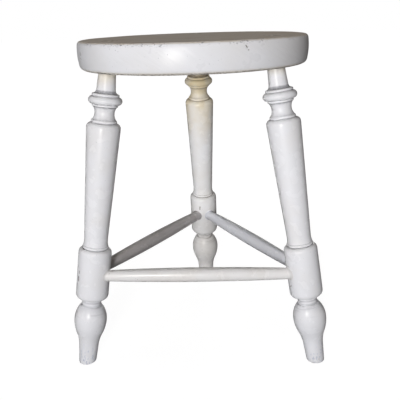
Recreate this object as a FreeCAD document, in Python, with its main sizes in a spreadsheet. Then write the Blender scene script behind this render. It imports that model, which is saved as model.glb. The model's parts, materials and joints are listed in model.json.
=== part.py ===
# Three-legged stool: a round plank seat, three splayed turned legs and three swelled turned stretchers.
# Millimetres, +Z up. The origin is on the floor under the middle of the seat and +Y points at the back leg.
import FreeCAD
import Part
import Sketcher
import os

# Driving sizes: name, millimetres or degrees, and what it measures
SIZES = (
    ("seat_height", 457, "floor to the top of the seat"),
    ("seat_diameter", 320, "across the fullest place of the seat's side"),
    ("seat_thickness", 38, "seat plank"),
    ("seat_low_depth", 1.5, "how far the seat's side draws in down to its bottom edge"),
    ("seat_high_depth", 0.5, "how far the seat's side draws in up to its top edge"),
    ("seat_top_round", 5, "radius of the seat's top edge"),
    ("seat_bottom_round", 7, "radius of the seat's bottom edge"),
    ("socket_inset", 32, "seat's rim to a leg's centre line, on the underside"),
    ("splay_angle", 9, "lean of each leg, in degrees from upright"),
    ("tenon_radius", 11.5, "round tenon at the top of a leg"),
    ("socket_fit", 0.08, "gap round a leg tenon in its socket"),
    ("saw_waste", 3, "extra length on a leg blank before its ends are sawn level"),
    ("foot_radius", 12.6, "leg at the floor"),
    ("foot_edge_round", 2.2, "worn edge of the foot"),
    ("foot_length", 24, "floor to ankle, along the leg"),
    ("ankle_radius", 14, "thinnest place above the foot"),
    ("ball_rise", 45, "ankle to the fullest place of the ball"),
    ("ball_radius", 23.4, "fullest place of the ball"),
    ("ball_crown", 23, "fullest place of the ball to its top"),
    ("ball_top_radius", 14.8, "top of the ball"),
    ("collar_groove", 4.6, "height of the groove over the ball"),
    ("collar_groove_depth", 2, "bottom of that groove below the collar beside it"),
    ("collar_height", 3.2, "height of the half-round collar under the block"),
    ("collar_radius", 14.6, "half-round collar under the block"),
    ("crease_depth", 1.5, "creases on both sides of a half-round ring below its fullest place"),
    ("block_bevel", 9, "height of the rounded lower end of the block"),
    ("block_foot_radius", 16.4, "lower end of the block"),
    ("block_length", 66, "straight part of the block that takes the stretchers"),
    ("block_radius", 23.3, "straight part of the block"),
    ("block_crown", 6, "height of the rounded upper end of the block"),
    ("block_crown_radius", 19.4, "upper end of the block"),
    ("waist_ring_height", 3.2, "height of the half-round ring over the block"),
    ("waist_ring_depth", 0.8, "that ring beyond the rim of the flare over it"),
    ("waist_flare_height", 8, "height of the flare over that ring"),
    ("waist_flare_depth", 1.1, "rim of the flare beyond the thin end of the taper"),
    ("waist_radius", 16.6, "thin end of the long taper"),
    ("shoulder_radius", 23.3, "thick end of the long taper"),
    ("shoulder_round", 6.5, "height of the rounded shoulder over the taper"),
    ("shoulder_edge_depth", 1.1, "top of the rounded shoulder beyond the ring over it"),
    ("ring_radius", 17.7, "half-round rings below and above the cove"),
    ("low_ring_height", 4.2, "ring below the cove"),
    ("middle_ring_height", 3.4, "ring between the cove and the bead"),
    ("cove_height", 17.6, "hollow between two half-round rings"),
    ("cove_depth", 2.9, "thinnest place of the hollow below its rims"),
    ("bead_height", 9.6, "half-round bead"),
    ("bead_edge_depth", 0.5, "edges of the bead beyond the ring below it"),
    ("bead_depth", 4.7, "fullest place of the bead beyond its edges"),
    ("top_ring_height", 4.4, "ring over the bead"),
    ("top_ring_radius", 18.7, "half-round ring over the bead"),
    ("neck_length", 28, "seat underside to the ring over the bead, along the leg"),
    ("neck_base_radius", 12.9, "thick end of the neck"),
    ("neck_flare_height", 3.2, "flare at the foot of the neck"),
    ("neck_flare_depth", 1.6, "foot of that flare beyond the neck"),
    ("wedge_length", 22, "depth of the saw cut in a leg tenon"),
    ("wedge_head", 3.4, "thickness of a tenon wedge at its top"),
    ("wedge_tip", 1.4, "thickness of a tenon wedge at its tip"),
    ("wedge_inset", 0.8, "wedge ends to the side of the tenon"),
    ("wedge_fit", 0.05, "gap each side of a wedge"),
    ("wedge_end_gap", 1, "wedge tip to the bottom of the saw cut"),
    ("front_stretcher_drop", 2.2, "front stretcher below the other two, along the leg"),
    ("front_stretcher_outset", 7.5, "front stretcher in front of its legs' centre lines"),
    ("stretcher_radius", 10.2, "fullest place of a stretcher, at its middle"),
    ("stretcher_end_radius", 7.6, "stretcher at the leg, and its stub tenon"),
    ("tenon_chamfer", 1, "chamfer on a stub tenon's end"),
    ("mortise_fit", 0.08, "gap round a stub tenon in its mortise"),
    ("mortise_web", 0.8, "wood left between the floors of neighbouring mortises"),
    ("mortise_end_gap", 0.6, "stub tenon's end to the floor of its mortise"),
)

# Legs by name, anticlockwise from the one at the back, and the stretchers that follow them in the same turn
LEG_NAMES = ("back_leg", "left_leg", "right_leg")
STRETCHER_NAMES = ("left_stretcher", "front_stretcher", "right_stretcher")
LEG_COUNT = len(LEG_NAMES)
# Compass angles from +X: where each leg stands, and where each stretcher's middle faces
BACK_ANGLE = 90
HALF_TURN = 180 / LEG_COUNT
LEGS = {name: BACK_ANGLE + 2 * place * HALF_TURN for place, name in enumerate(LEG_NAMES)}
STRETCHERS = {name: BACK_ANGLE + (2 * place + 1) * HALF_TURN for place, name in enumerate(STRETCHER_NAMES)}
# Each stretcher leaves a leg this far to either side of the line to the seat's axis
HALF_CORNER = 90 - HALF_TURN
# Tolerances: a volume change too small to be a cut, a height that is still the floor, points tried on an edge
NO_VOLUME = 1e-6
NEAR = 1e-3
EDGE_SAMPLES = 9

doc = FreeCAD.newDocument("tripod_stool")
sheet = doc.addObject("Spreadsheet::Sheet", "Sizes")
for row, (alias, amount, meaning) in enumerate(SIZES, start=1):
    sheet.set(f"A{row}", meaning)
    sheet.set(f"B{row}", str(amount))
    sheet.setAlias(f"B{row}", alias)
doc.recompute()


def size(formula):
    """The formula with each size's name turned into its sheet cell."""
    for alias, _, _ in sorted(SIZES, key=lambda entry: -len(entry[0])):
        formula = formula.replace(f"<{alias}>", f"Sizes.{alias}")
    return formula


# Places along a leg's centre line, measured from the floor, from the foot up
ANKLE = size("<foot_length>")
BALL = size(f"{ANKLE} + <ball_rise>")
BALL_MIDWAY = size(f"{ANKLE} + <ball_rise> / 2")
BALL_TOP = size(f"{BALL} + <ball_crown>")
COLLAR = size(f"{BALL_TOP} + <collar_groove>")
BLOCK_FOOT = size(f"{COLLAR} + <collar_height>")
BLOCK_LOW = size(f"{BLOCK_FOOT} + <block_bevel>")
BLOCK_HIGH = size(f"{BLOCK_LOW} + <block_length>")
BLOCK_TOP = size(f"{BLOCK_HIGH} + <block_crown>")
WAIST_RING_TOP = size(f"{BLOCK_TOP} + <waist_ring_height>")
WAIST = size(f"{WAIST_RING_TOP} + <waist_flare_height>")
# and from the seat down
LEG_TOP = size("<seat_height> / cos(<splay_angle>)")
SEAT_UNDERSIDE = size("(<seat_height> - <seat_thickness>) / cos(<splay_angle>)")
TENON_START = size(f"{SEAT_UNDERSIDE} - (<tenon_radius> + <socket_fit>) * tan(<splay_angle>)")
NECK_BASE = size(f"{SEAT_UNDERSIDE} - <neck_length>")
NECK_FLARE_TOP = size(f"{NECK_BASE} + <neck_flare_height>")
BEAD_HIGH = size(f"{NECK_BASE} - <top_ring_height>")
BEAD_MIDDLE = size(f"{BEAD_HIGH} - <bead_height> / 2")
BEAD_LOW = size(f"{BEAD_HIGH} - <bead_height>")
COVE_HIGH = size(f"{BEAD_LOW} - <middle_ring_height>")
COVE_MIDDLE = size(f"{COVE_HIGH} - <cove_height> / 2")
COVE_LOW = size(f"{COVE_HIGH} - <cove_height>")
SHOULDER_TOP = size(f"{COVE_LOW} - <low_ring_height>")
SHOULDER = size(f"{SHOULDER_TOP} - <shoulder_round>")

# How far the legs' centre lines are from the seat's axis, and where the stretchers cross them
SOCKET_REACH = size("(<seat_diameter> / 2 - <socket_inset>)")
FOOT_REACH = size(f"{SOCKET_REACH} + (<seat_height> - <seat_thickness>) * tan(<splay_angle>)")
SIDE_STRETCHER = size(f"({BLOCK_FOOT} + {BLOCK_TOP}) / 2")
FRONT_STRETCHER = size(f"{SIDE_STRETCHER} - <front_stretcher_drop>")
FRONT_OUTSET = size("<front_stretcher_outset>")
SIDE_OUTSET = "0"
MORTISE_FLOOR = size(f"(<stretcher_end_radius> + <mortise_fit>) / tan({HALF_CORNER}) + <mortise_web>")


def number(formula):
    """The present value of a formula."""
    return float(sheet.evalExpression(formula))


def origin_feature(body, role):
    """One of a body's own origin planes or axes."""
    return next(feature for feature in body.Origin.OriginFeatures if feature.Role == role)


def new_sketch(body, name, plane, offset=None):
    """An empty sketch on one of the body's planes, moved by the offset formula."""
    sketch = body.newObject("Sketcher::SketchObject", f"{body.Label}_{name}")
    sketch.AttachmentSupport = [(origin_feature(body, plane), "")]
    sketch.MapMode = "FlatFace"
    if offset:
        sketch.setExpression("AttachmentOffset", offset)
    doc.recompute()
    return sketch


def tie_point(sketch, edge, end, across, up):
    """Hold one end of a sketch edge at two formulas, measured from the sketch's origin."""
    for kind, axis, formula in (("DistanceX", -2, across), ("DistanceY", -1, up)):
        if formula == "0":
            sketch.addConstraint(Sketcher.Constraint("PointOnObject", edge, end, axis))
            continue
        index = sketch.addConstraint(Sketcher.Constraint(kind, -1, 1, edge, end, number(formula)))
        sketch.setExpression(f"Constraints[{index}]", formula)


def arc_between(start, finish, level_with):
    """An arc from start to finish whose centre is level with one of them, so it runs upright there."""
    near, far = (start, finish) if level_with == "start" else (finish, start)
    sideways = far.x - near.x
    radius = (far - near).Length ** 2 / (2 * abs(sideways))
    centre = near + FreeCAD.Vector(radius if sideways > 0 else -radius, 0, 0)
    towards_middle = (start + finish) / 2 - centre
    return Part.Arc(start, centre + towards_middle.normalize() * radius, finish)


def draw_outline(sketch, corners, bends=None):
    """Draw a closed outline and tie its corners to the sheet.

    corners: pairs of formulas. bends: for an edge that is an arc, by the number of the corner it leaves,
    either the end its centre is level with ("start" or "finish") or the pair of formulas it passes through.
    """
    bends = bends or {}
    points = [FreeCAD.Vector(number(across), number(up), 0) for across, up in corners]
    edges = []
    for place, start in enumerate(points):
        finish = points[(place + 1) % len(points)]
        bend = bends.get(place)
        if bend is None:
            curve = Part.LineSegment(start, finish)
        elif isinstance(bend, str):
            curve = arc_between(start, finish, bend)
        else:
            curve = Part.Arc(start, FreeCAD.Vector(number(bend[0]), number(bend[1]), 0), finish)
        edges.append(sketch.addGeometry(curve, False))

    def end_at(edge, point):
        """Which end of the edge, 1 or 2, lies at the point."""
        return min((1, 2), key=lambda end: (sketch.getPoint(edge, end) - point).Length)

    for place, edge in enumerate(edges):
        before = edges[place - 1]
        here = points[place]
        joint = (before, end_at(before, here), edge, end_at(edge, here))
        sketch.addConstraint(Sketcher.Constraint("Coincident", *joint))
        tie_point(sketch, edge, end_at(edge, here), *corners[place])
    for place, bend in bends.items():
        edge = edges[place]
        if isinstance(bend, str):
            level = points[place] if bend == "start" else points[(place + 1) % len(points)]
            sketch.addConstraint(Sketcher.Constraint("Horizontal", edge, 3, edge, end_at(edge, level)))
        else:
            apex = sketch.addGeometry(Part.Point(FreeCAD.Vector(number(bend[0]), number(bend[1]), 0)), True)
            tie_point(sketch, apex, 1, *bend)
            sketch.addConstraint(Sketcher.Constraint("PointOnObject", apex, 1, edge))
    doc.recompute()


def draw_circle(sketch, radius):
    """A circle about the sketch's origin, tied to the sheet."""
    circle = Part.Circle(FreeCAD.Vector(0, 0, 0), FreeCAD.Vector(0, 0, 1), number(radius))
    edge = sketch.addGeometry(circle, False)
    sketch.addConstraint(Sketcher.Constraint("Coincident", edge, 3, -1, 1))
    index = sketch.addConstraint(Sketcher.Constraint("Radius", edge, number(radius)))
    sketch.setExpression(f"Constraints[{index}]", radius)
    doc.recompute()


def turn(body, sketch):
    """Revolve the outline about the sketch's upright axis."""
    feature = body.newObject("PartDesign::Revolution", f"{body.Label}_turning")
    feature.Profile = sketch
    feature.ReferenceAxis = (sketch, ["V_Axis"])
    feature.Angle = 360
    doc.recompute()


def saw_through(body, sketch):
    """Cut the outline right through the body, both ways from the sketch."""
    before = body.Shape.Volume
    feature = body.newObject("PartDesign::Pocket", f"{sketch.Label}_cut")
    feature.Profile = sketch
    feature.Type = "ThroughAll"
    feature.Midplane = True
    doc.recompute()
    confirm_cut(body, before)


def confirm_cut(body, before):
    """Stop if the last cut took nothing off."""
    if body.Shape.Volume > before - NO_VOLUME:
        raise RuntimeError(f"a cut in {body.Label} removed nothing")


def new_body(name, place):
    """An empty body with its Label and a placement formula."""
    body = doc.addObject("PartDesign::Body", name)
    body.Label = name
    body.setExpression("Placement", place)
    doc.recompute()
    return body


def facing(angle, reach="0", height="0", tilt="0", roll="0"):
    """A placement formula: out from the seat's axis at a compass angle, then tilted or rolled."""
    aim = f"placement(vector(0; 0; 0); rotation({angle}; 0; 0))"
    step = f"placement(vector({reach}; 0; {height}); rotation(0; {tilt}; {roll}))"
    return f"{aim} * {step}"


def make_seat():
    """The plank seat, turned to a round with eased edges and bored right through for the three legs."""
    underside = size("<seat_height> - <seat_thickness>")
    body = new_body("seat", f"placement(vector(0; 0; {underside}); rotation(0; 0; 0))")
    rim = size("<seat_diameter> / 2")
    low_rim = size(f"{rim} - <seat_low_depth>")
    high_rim = size(f"{rim} - <seat_high_depth>")
    outline = [
        ("0", "0"),
        (size(f"{low_rim} - <seat_bottom_round>"), "0"),
        (low_rim, size("<seat_bottom_round>")),
        (high_rim, size("<seat_thickness> - <seat_top_round>")),
        (size(f"{high_rim} - <seat_top_round>"), size("<seat_thickness>")),
        ("0", size("<seat_thickness>")),
    ]
    sketch = new_sketch(body, "outline", "XZ_Plane")
    fullest = (rim, size("<seat_thickness> / 2"))
    draw_outline(sketch, outline, {1: "finish", 2: fullest, 3: "start"})
    turn(body, sketch)

    # One raked socket on the back leg's centre line, then its two copies
    rake = size(f"placement(vector({SOCKET_REACH}; 0; 0); rotation(<splay_angle>; 0; 0))")
    socket_sketch = new_sketch(body, "socket", "YZ_Plane", rake)
    wall = size("<tenon_radius> + <socket_fit>")
    overrun = size("-<tenon_radius>")
    exit_height = size("<seat_thickness> / cos(<splay_angle>) + <tenon_radius>")
    draw_outline(socket_sketch, [("0", overrun), (wall, overrun), (wall, exit_height), ("0", exit_height)])
    before = body.Shape.Volume
    socket = body.newObject("PartDesign::Groove", "seat_socket")
    socket.Profile = socket_sketch
    socket.ReferenceAxis = (socket_sketch, ["V_Axis"])
    socket.Angle = 360
    doc.recompute()
    confirm_cut(body, before)
    sockets = body.newObject("PartDesign::PolarPattern", "seat_sockets")
    sockets.Originals = [socket]
    sockets.Axis = (origin_feature(body, "Z_Axis"), [""])
    sockets.Angle = 360
    sockets.Occurrences = LEG_COUNT
    body.Tip = sockets
    doc.recompute()
    return body


def leg_outline():
    """Half of the turned leg, from the foot blank up to the tenon blank, with its arcs."""
    foot_blank = size("-(<foot_radius> * tan(<splay_angle>) + <saw_waste>)")
    tenon_blank = size(f"{LEG_TOP} + <tenon_radius> * tan(<splay_angle>) + <saw_waste>")
    flare_rim = "<waist_radius> + <waist_flare_depth>"
    cove_rim = "<ring_radius> - <crease_depth>"
    bead_edge = "<ring_radius> + <bead_edge_depth>"
    corners = []
    bends = {}

    def add(radius, height, bend=None):
        """Add a corner, and the bend of the edge that leaves it."""
        if bend is not None:
            bends[len(corners)] = bend
        corners.append((size(radius), height))

    def add_ring(radius, low, high, bend=None):
        """Add a half-round ring between two creases, and the bend of the edge that leaves it."""
        root = f"{radius} - <crease_depth>"
        add(root, low, (size(radius), f"({low} + {high}) / 2"))
        add(root, high, bend)

    add("0", foot_blank)
    add("<foot_radius>", foot_blank)
    add("<ankle_radius>", ANKLE, "start")
    add("(<ankle_radius> + <ball_radius>) / 2", BALL_MIDWAY, "finish")
    add("<ball_radius>", BALL, "start")
    add("<ball_top_radius>", BALL_TOP)
    add("<collar_radius> - <collar_groove_depth>", BALL_TOP)
    add("<collar_radius> - <collar_groove_depth>", COLLAR)
    add_ring("<collar_radius>", COLLAR, BLOCK_FOOT)
    add("<block_foot_radius>", BLOCK_FOOT, "finish")
    add("<block_radius>", BLOCK_LOW)
    add("<block_radius>", BLOCK_HIGH, "start")
    add("<block_crown_radius>", BLOCK_TOP)
    add_ring(f"{flare_rim} + <waist_ring_depth>", BLOCK_TOP, WAIST_RING_TOP)
    add(flare_rim, WAIST_RING_TOP, "finish")
    add("<waist_radius>", WAIST)
    add("<shoulder_radius>", SHOULDER, "start")
    add("<ring_radius> + <shoulder_edge_depth>", SHOULDER_TOP)
    add_ring("<ring_radius>", SHOULDER_TOP, COVE_LOW, (size(f"{cove_rim} - <cove_depth>"), COVE_MIDDLE))
    add_ring("<ring_radius>", COVE_HIGH, BEAD_LOW)
    add(bead_edge, BEAD_LOW, (size(f"{bead_edge} + <bead_depth>"), BEAD_MIDDLE))
    add(bead_edge, BEAD_HIGH)
    add_ring("<top_ring_radius>", BEAD_HIGH, NECK_BASE)
    add("<neck_base_radius> + <neck_flare_depth>", NECK_BASE, "finish")
    add("<neck_base_radius>", NECK_FLARE_TOP)
    add("<tenon_radius>", TENON_START)
    add("<tenon_radius>", tenon_blank)
    add("0", tenon_blank)
    return corners, bends


def saw_level(body, name, height, half_width, above):
    """Saw a leaning piece off level where its centre line reaches the height, on the side above or below."""
    lean = size(f"{half_width} * tan(<splay_angle>)")
    beyond = size(f"({height}) {'+' if above else '-'} ({lean} + <saw_waste>)")
    left_up = f"({height}) + {lean}"
    right_up = f"({height}) - {lean}"
    corners = [
        (f"-({half_width})", left_up),
        (half_width, right_up),
        (half_width, beyond),
        (f"-({half_width})", beyond),
    ]
    sketch = new_sketch(body, name, "XZ_Plane")
    draw_outline(sketch, corners)
    saw_through(body, sketch)


def round_foot(body):
    """Ease the edge that stands on the floor."""
    foot = [
        f"Edge{place}"
        for place, edge in enumerate(body.Shape.Edges, start=1)
        if all(abs(point.z) < NEAR for point in edge.discretize(EDGE_SAMPLES))
    ]
    sawn = body.Tip
    feature = body.newObject("PartDesign::Fillet", f"{body.Label}_foot_round")
    feature.Base = (sawn, foot)
    feature.setExpression("Radius", size("<foot_edge_round>"))
    doc.recompute()


def bore_mortise(body, name, height, side, outset):
    """A blind round mortise that faces the next leg, bored from its floor outwards."""
    up_the_leg = f"placement(vector(0; 0; {height}); rotation(0; 0; 0))"
    level = size("placement(vector(0; 0; 0); rotation(0; <splay_angle>; 0))")
    aim = f"placement(vector(0; 0; 0); rotation({side * (180 - HALF_CORNER)}; 0; 0))"
    floor = f"placement(vector({MORTISE_FLOOR}; {-side} * {outset}; 0); rotation(0; 90; 0))"
    sketch = new_sketch(body, name, "XY_Plane", f"{up_the_leg} * {level} * {aim} * {floor}")
    draw_circle(sketch, size("<stretcher_end_radius> + <mortise_fit>"))
    before = body.Shape.Volume
    feature = body.newObject("PartDesign::Pocket", f"{sketch.Label}_bore")
    feature.Profile = sketch
    feature.Type = "ThroughAll"
    feature.Reversed = True
    doc.recompute()
    confirm_cut(body, before)


def wedge_corners(tip_gap, side_gap):
    """Outline of the wedge, or of the saw cut that takes it, across its thickness."""
    head = size(f"<wedge_head> / 2 + {side_gap}")
    tip = size(f"<wedge_tip> / 2 + {side_gap}")
    low = size(f"{LEG_TOP} - <wedge_length> + {tip_gap}")
    high = size(f"{LEG_TOP} + <tenon_radius> * tan(<splay_angle>) + <saw_waste>")
    return [(f"-({tip})", low), (tip, low), (head, high), (f"-({head})", high)]


def across_grain(angle):
    """Turns a sketch about a leg's centre line so that every wedge's thickness lies along X."""
    return f"placement(vector(0; 0; 0); rotation(0; {-angle}; 0))"


def leg_place(angle):
    """Where a leg stands: its centre line meets the floor at the foot reach and leans in to the seat."""
    return facing(angle, reach=FOOT_REACH, tilt=size("-<splay_angle>"))


def make_leg(name, angle):
    """One turned leg, sawn level at both ends, mortised for two stretchers and split for its wedge."""
    body = new_body(name, leg_place(angle))
    sketch = new_sketch(body, "outline", "XZ_Plane")
    draw_outline(sketch, *leg_outline())
    turn(body, sketch)
    saw_level(body, "foot_end", "0", size("2 * <foot_radius>"), above=False)
    round_foot(body)
    saw_level(body, "seat_end", LEG_TOP, size("2 * <tenon_radius>"), above=True)
    kerf = new_sketch(body, "kerf", "XZ_Plane", across_grain(angle))
    draw_outline(kerf, wedge_corners("0", size("<wedge_fit>")))
    saw_through(body, kerf)
    for side in (1, -1):
        stretcher_angle = angle + side * HALF_TURN
        in_front = stretcher_angle == STRETCHERS["front_stretcher"]
        height = FRONT_STRETCHER if in_front else SIDE_STRETCHER
        outset = FRONT_OUTSET if in_front else SIDE_OUTSET
        bore_mortise(body, f"mortise_{stretcher_angle:.0f}", height, side, outset)
    return body


def make_wedge(name, angle):
    """The wedge in a leg's tenon, sawn off flush with the seat."""
    body = new_body(name, leg_place(angle))
    sketch = new_sketch(body, "outline", "XZ_Plane", across_grain(angle))
    draw_outline(sketch, wedge_corners(size("<wedge_end_gap>"), "0"))
    pad = body.newObject("PartDesign::Pad", f"{name}_pad")
    pad.Profile = sketch
    pad.Midplane = True
    pad.setExpression("Length", size("2 * (<tenon_radius> - <wedge_inset>)"))
    doc.recompute()
    saw_level(body, "seat_end", LEG_TOP, size("2 * <tenon_radius>"), above=True)
    return body


def make_stretcher(name, angle):
    """A swelled rung between two legs, turned about its own length, with a stub tenon at each end."""
    in_front = name == "front_stretcher"
    place_on_leg = FRONT_STRETCHER if in_front else SIDE_STRETCHER
    outset = FRONT_OUTSET if in_front else SIDE_OUTSET
    reach = size(f"({FOOT_REACH} - ({place_on_leg}) * sin(<splay_angle>))")
    height = size(f"({place_on_leg}) * cos(<splay_angle>)")
    body = new_body(name, facing(angle, f"{reach} * cos({HALF_TURN}) + {outset}", height, roll="90"))
    half_span = f"{reach} * sin({HALF_TURN})"
    swell = size(f"{half_span} - (<block_radius> + <stretcher_end_radius> * tan(<splay_angle>))")
    end = size(f"{half_span} - ({MORTISE_FLOOR} + <mortise_end_gap>)")
    end_radius = size("<stretcher_end_radius>")
    chamfer_radius = size("<stretcher_end_radius> - <tenon_chamfer>")
    chamfer_start = size(f"{end} - <tenon_chamfer>")
    corners = [
        ("0", f"-({end})"),
        (chamfer_radius, f"-({end})"),
        (end_radius, f"-({chamfer_start})"),
        (end_radius, f"-({swell})"),
        (end_radius, swell),
        (end_radius, chamfer_start),
        (chamfer_radius, end),
        ("0", end),
    ]
    sketch = new_sketch(body, "outline", "XZ_Plane")
    draw_outline(sketch, corners, {3: (size("<stretcher_radius>"), "0")})
    turn(body, sketch)
    return body


def write_parts(bodies):
    """Check every object of the document and every solid, then write one file for each piece."""
    doc.recompute()
    for item in doc.Objects:
        if {"Invalid", "Error"} & set(item.State):
            raise RuntimeError(f"{item.Label} failed: {item.State}")
    for body in bodies:
        shape = body.Shape
        if shape.isNull() or not shape.isValid() or len(shape.Solids) != 1:
            raise RuntimeError(f"{body.Label} is not one valid solid")
    os.makedirs("parts", exist_ok=True)
    for body in bodies:
        body.Shape.exportStep(f"parts/{body.Label}.step")
        print(f"{body.Label}: {body.Shape.Volume / 1000:.1f} cm3")


pieces = [make_seat()]
pieces += [make_leg(name, angle) for name, angle in LEGS.items()]
pieces += [make_wedge(f"{name}_wedge", angle) for name, angle in LEGS.items()]
pieces += [make_stretcher(name, angle) for name, angle in STRETCHERS.items()]
write_parts(pieces)
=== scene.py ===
"""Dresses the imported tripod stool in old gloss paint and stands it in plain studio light.

Sizes are in millimetres unless a name says otherwise. Meshes are in metres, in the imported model's frame.
"""
import json
import logging
import math
from dataclasses import dataclass, field, replace
from enum import Enum

import bpy
import numpy as np
from mathutils import Matrix, Vector


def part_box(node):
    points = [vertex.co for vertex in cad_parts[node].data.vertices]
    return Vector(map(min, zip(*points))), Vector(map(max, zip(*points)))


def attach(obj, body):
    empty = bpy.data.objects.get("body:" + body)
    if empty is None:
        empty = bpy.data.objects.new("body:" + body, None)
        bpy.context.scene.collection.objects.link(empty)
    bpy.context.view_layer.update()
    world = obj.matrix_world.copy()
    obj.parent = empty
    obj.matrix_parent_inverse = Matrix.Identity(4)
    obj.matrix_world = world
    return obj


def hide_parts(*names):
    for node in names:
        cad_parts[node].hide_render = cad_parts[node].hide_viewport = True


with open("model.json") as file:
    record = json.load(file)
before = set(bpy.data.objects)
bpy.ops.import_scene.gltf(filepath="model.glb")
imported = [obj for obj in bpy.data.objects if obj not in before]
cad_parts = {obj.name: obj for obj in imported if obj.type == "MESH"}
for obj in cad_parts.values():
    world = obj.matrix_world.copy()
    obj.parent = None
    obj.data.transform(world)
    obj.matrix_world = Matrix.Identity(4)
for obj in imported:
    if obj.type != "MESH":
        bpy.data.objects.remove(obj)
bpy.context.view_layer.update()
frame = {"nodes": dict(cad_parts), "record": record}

LOG = logging.getLogger("stool")
MM = 0.001
BODY = "root"
IMAGE_SIDE = 400
TINY = 1e-9
TINY_SQUARE_M = 1e-12

Colour = tuple[float, float, float, float]
Limits = tuple[float, float]
Socket = bpy.types.NodeSocket


def srgb(red: int, green: int, blue: int) -> Colour:
    """Turn a screen colour into the linear one that a shader takes.

    Args:
        red: Red from 0 to 255.
        green: Green from 0 to 255.
        blue: Blue from 0 to 255.

    Returns:
        Linear red, green and blue, and full opacity.
    """
    def linear(level: int) -> float:
        """One channel, from screen to linear."""
        share = level / 255
        return share / 12.92 if share <= 0.04045 else ((share + 0.055) / 1.055) ** 2.4

    return linear(red), linear(green), linear(blue), 1.0


class Leg(Enum):
    """The legs: CAD node, and compass angle from +X in degrees."""

    LEFT = ("left_leg", 210.0)
    RIGHT = ("right_leg", 330.0)
    BACK = ("back_leg", 90.0)

    def __init__(self, node: str, angle: float) -> None:
        """Name the two halves of the value."""
        self.node = node
        self.angle = angle


class Rung(Enum):
    """The stretchers: CAD node, and the two legs that each joins."""

    FRONT = ("front_stretcher", Leg.LEFT, Leg.RIGHT)
    LEFT = ("left_stretcher", Leg.BACK, Leg.LEFT)
    RIGHT = ("right_stretcher", Leg.RIGHT, Leg.BACK)

    def __init__(self, node: str, first: Leg, last: Leg) -> None:
        """Name the parts of the value.

        Args:
            node: The CAD node.
            first: The leg at the start.
            last: The leg at the end.
        """
        self.node = node
        self.first = first
        self.last = last


class Upright(Enum):
    """The end of an arc that runs along the turning axis."""

    START = "start"
    FINISH = "finish"


@dataclass
class Outline:
    """Half of a turned piece: points of radius and place along its axis."""

    step: float = 0.2
    points: list[np.ndarray] = field(default_factory=list)

    def line(self, radius: float, place: float) -> None:
        """Run straight to a point, or start there.

        Args:
            radius: Distance from the axis.
            place: Distance along the axis.
        """
        end = np.array((radius, place), float)
        if not self.points:
            self.points.append(end)
            return
        start = self.points[-1]
        count = max(1, math.ceil(np.linalg.norm(end - start) / self.step))
        self.points += [start + (end - start) * k / count for k in range(1, count + 1)]

    def arc(self, radius: float, place: float, upright: Upright) -> None:
        """Run to a point on an arc that is upright at one end.

        Args:
            radius: Distance of the end from the axis.
            place: Distance of the end along the axis.
            upright: The end where the arc runs along the axis.
        """
        start, end = self.points[-1], np.array((radius, place), float)
        near, far = (start, end) if upright is Upright.START else (end, start)
        sideways = far[0] - near[0]
        bend = float((far - near) @ (far - near)) / (2 * abs(sideways))
        centre = near + np.array((math.copysign(bend, sideways), 0.0))
        self._sweep(centre, end)

    def bow(self, through: tuple[float, float], radius: float, place: float) -> None:
        """Run to a point on an arc through another one.

        Args:
            through: Radius and place of the point on the way.
            radius: Distance of the end from the axis.
            place: Distance of the end along the axis.
        """
        start, middle, end = self.points[-1], np.array(through, float), np.array((radius, place), float)
        sides = 2 * np.array((middle - start, end - start))
        centre = np.linalg.solve(sides, [middle @ middle - start @ start, end @ end - start @ start])
        self._sweep(centre, middle)
        self._sweep(centre, end)

    def _sweep(self, centre: np.ndarray, end: np.ndarray) -> None:
        """Run round a centre, the short way, from the last point to the end.

        Args:
            centre: Radius and place of the centre.
            end: Radius and place of the end, or of a point in line with it from the centre.
        """
        start = self.points[-1]
        bend = np.linalg.norm(start - centre)
        first = math.atan2(*(start - centre)[::-1])
        turn = math.remainder(math.atan2(*(end - centre)[::-1]) - first, math.tau)
        count = max(2, math.ceil(bend * abs(turn) / self.step))
        for k in range(1, count + 1):
            angle = first + turn * k / count
            self.points.append(centre + bend * np.array((math.cos(angle), math.sin(angle))))


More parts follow.
